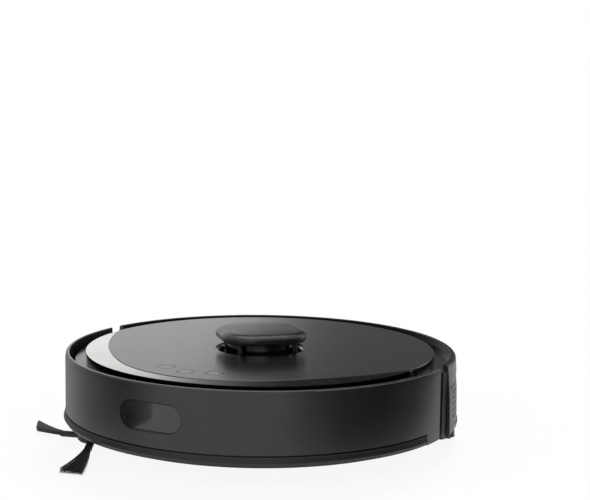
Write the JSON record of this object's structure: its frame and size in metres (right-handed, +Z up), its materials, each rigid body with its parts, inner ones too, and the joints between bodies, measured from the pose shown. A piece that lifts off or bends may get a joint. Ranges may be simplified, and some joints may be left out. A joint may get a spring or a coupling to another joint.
{
  "type": "robot vacuum",
  "caption": "Round low robot vacuum with a spring bumper, raised laser sensor turret, touch keys, side brush, roller brush, pull-out dust bin and clip-on mop pad.",
  "frame": {"origin": "on the floor under the centre of the round body", "axes": "+Z up, -Y the way it drives (front), +X its left side"},
  "size_m": [0.3576, 0.3742, 0.0936],
  "materials": {
    "satin_black": "satin",
    "gloss_black": "polished",
    "gloss_silver": "polished metallic",
    "matte_grey": "fine matte",
    "base_black": "moulded matte",
    "rubber_dark": "matte",
    "tyre_dark": "treaded",
    "smoked_window": "polished",
    "nickel": "plated",
    "steel": "plated",
    "board_green": "lacquered",
    "cell_wrap": "shrink wrap",
    "hub_grey": "moulded",
    "brush_red": "matte",
    "bristle_grey": "fibre",
    "bin_smoke": "satin",
    "filter_white": "pleated",
    "pad_grey": "microfibre"
  },
  "bodies": {
    "chassis": {"base_pan": "base_black", "upper_shell": "satin_black", "exhaust_grille": "satin_black", "charge_contacts": "nickel", "crescent_trim": "gloss_silver", "top_disc": "matte_grey", "turret_ring": "gloss_silver", "bumper_springs": "steel", "cap_springs": "steel", "lidar_base": "base_black", "lidar_belt": "rubber_dark", "lidar_motor": "steel", "battery": "cell_wrap", "battery_cover": "base_black", "main_board": "board_green", "fan_housing": "hub_grey", "fan_motor": "steel", "brush_motor": "base_black", "side_brush_motor": "base_black", "cliff_sensors": "smoked_window", "base_screws": "steel", "suspension_pins": "steel"},
    "bumper": {"bumper_shell": "satin_black", "bumper_strip": "rubber_dark", "front_window": "smoked_window"},
    "cap": {"turret_cap": "satin_black"},
    "lidar": {"lidar_rotor": "gloss_black", "lidar_lens": "smoked_window"},
    "pulley": {"lidar_pulley": "hub_grey"},
    "fan": {"fan_impeller": "hub_grey"},
    "power_key": {"power_button": "matte_grey"},
    "home_key": {"home_button": "matte_grey"},
    "spot_key": {"spot_button": "matte_grey"},
    "arm_left": {"wheel_arm_left": "base_black"},
    "arm_right": {"wheel_arm_right": "base_black"},
    "wheel_left": {"wheel_hub_left": "hub_grey", "tyre_left": "tyre_dark"},
    "wheel_right": {"wheel_hub_right": "hub_grey", "tyre_right": "tyre_dark"},
    "caster": {"caster_fork": "hub_grey", "caster_axle": "steel"},
    "caster_roller": {"caster_wheel": "rubber_dark"},
    "main_brush": {"brush_core": "base_black", "brush_fins": "brush_red"},
    "guard": {"brush_guard": "satin_black"},
    "side_brush": {"side_brush_hub": "rubber_dark", "side_brush_screw": "steel", "bristle_tuft_1": "bristle_grey", "bristle_tuft_2": "bristle_grey", "bristle_tuft_3": "bristle_grey"},
    "bin": {"dust_bin": "bin_smoke", "bin_lid": "satin_black", "hepa_filter": "filter_white"},
    "latch": {"bin_latch": "satin_black"},
    "mop": {"mop_plate": "base_black", "mop_cloth": "pad_grey"}
  },
  "joints": [
    {"name": "bumper_push", "type": "slide", "parent": "chassis", "child": "bumper", "axis": [0, 1, 0], "range_m": [0, 0.004], "stiffness_N_per_m": 600, "springref_m": -0.002, "deforming": ["bumper_springs"]},
    {"name": "cap_press", "type": "slide", "parent": "chassis", "child": "cap", "axis": [0, 0, -1], "range_m": [0, 0.0012], "stiffness_N_per_m": 2000, "springref_m": -0.001, "deforming": ["cap_springs"]},
    {"name": "lidar_spin", "type": "hinge", "parent": "chassis", "child": "lidar", "pos_m": [0, 0, 0.07], "axis": [0, 0, 1], "continuous": true},
    {"name": "pulley_spin", "type": "hinge", "parent": "chassis", "child": "pulley", "pos_m": [0, 0.034, 0.063], "axis": [0, 0, 1], "continuous": true},
    {"name": "fan_spin", "type": "hinge", "parent": "chassis", "child": "fan", "pos_m": [0.098, 0.084, 0.03], "axis": [0, 0, 1], "continuous": true},
    {"name": "power_press", "type": "slide", "parent": "chassis", "child": "power_key", "axis": [0, 0, -1], "range_m": [0, 0.0006], "stiffness_N_per_m": 1500, "springref_m": -0.001},
    {"name": "home_press", "type": "slide", "parent": "chassis", "child": "home_key", "axis": [0, 0, -1], "range_m": [0, 0.0006], "stiffness_N_per_m": 1500, "springref_m": -0.001},
    {"name": "spot_press", "type": "slide", "parent": "chassis", "child": "spot_key", "axis": [0, 0, -1], "range_m": [0, 0.0006], "stiffness_N_per_m": 1500, "springref_m": -0.001},
    {"name": "left_wheel_drop", "type": "hinge", "parent": "chassis", "child": "arm_left", "pos_m": [0.1055, -0.03, 0.036], "axis": [-1, 0, 0], "range_deg": [0, 20], "stiffness_Nm_per_rad": 0.15, "springref_deg": 45.84},
    {"name": "right_wheel_drop", "type": "hinge", "parent": "chassis", "child": "arm_right", "pos_m": [-0.1055, -0.03, 0.036], "axis": [-1, 0, 0], "range_deg": [0, 20], "stiffness_Nm_per_rad": 0.15, "springref_deg": 45.84},
    {"name": "left_wheel_spin", "type": "hinge", "parent": "arm_left", "child": "wheel_left", "pos_m": [0.124, 0.008, 0.0315], "axis": [1, 0, 0], "continuous": true},
    {"name": "right_wheel_spin", "type": "hinge", "parent": "arm_right", "child": "wheel_right", "pos_m": [-0.124, 0.008, 0.0315], "axis": [1, 0, 0], "continuous": true},
    {"name": "caster_swivel", "type": "hinge", "parent": "chassis", "child": "caster", "pos_m": [0.013, -0.112, 0.03], "axis": [0, 0, 1], "continuous": true},
    {"name": "caster_roll", "type": "hinge", "parent": "caster", "child": "caster_roller", "pos_m": [0.013, -0.112, 0.013], "axis": [1, 0, 0], "continuous": true},
    {"name": "main_brush_spin", "type": "hinge", "parent": "chassis", "child": "main_brush", "pos_m": [0, 0.012, 0.0195], "axis": [1, 0, 0], "continuous": true},
    {"name": "guard_swing", "type": "hinge", "parent": "chassis", "child": "guard", "pos_m": [0, -0.0187, 0.0105], "axis": [-1, 0, 0], "range_deg": [0, 60]},
    {"name": "side_brush_spin", "type": "hinge", "parent": "chassis", "child": "side_brush", "pos_m": [-0.094, -0.118, 0.01], "axis": [0, 0, 1], "continuous": true},
    {"name": "bin_slide", "type": "slide", "parent": "chassis", "child": "bin", "axis": [0, 1, 0], "range_m": [0, 0.115]},
    {"name": "latch_press", "type": "slide", "parent": "bin", "child": "latch", "axis": [0, -1, 0], "range_m": [0, 0.0025], "stiffness_N_per_m": 400, "springref_m": -0.002},
    {"name": "mop_slide", "type": "slide", "parent": "chassis", "child": "mop", "axis": [0, 1, 0], "range_m": [0, 0.125]}
  ],
  "couplings": [
    {"joint": "pulley_spin", "follows": "lidar_spin", "ratio": 4.2}
  ]
}
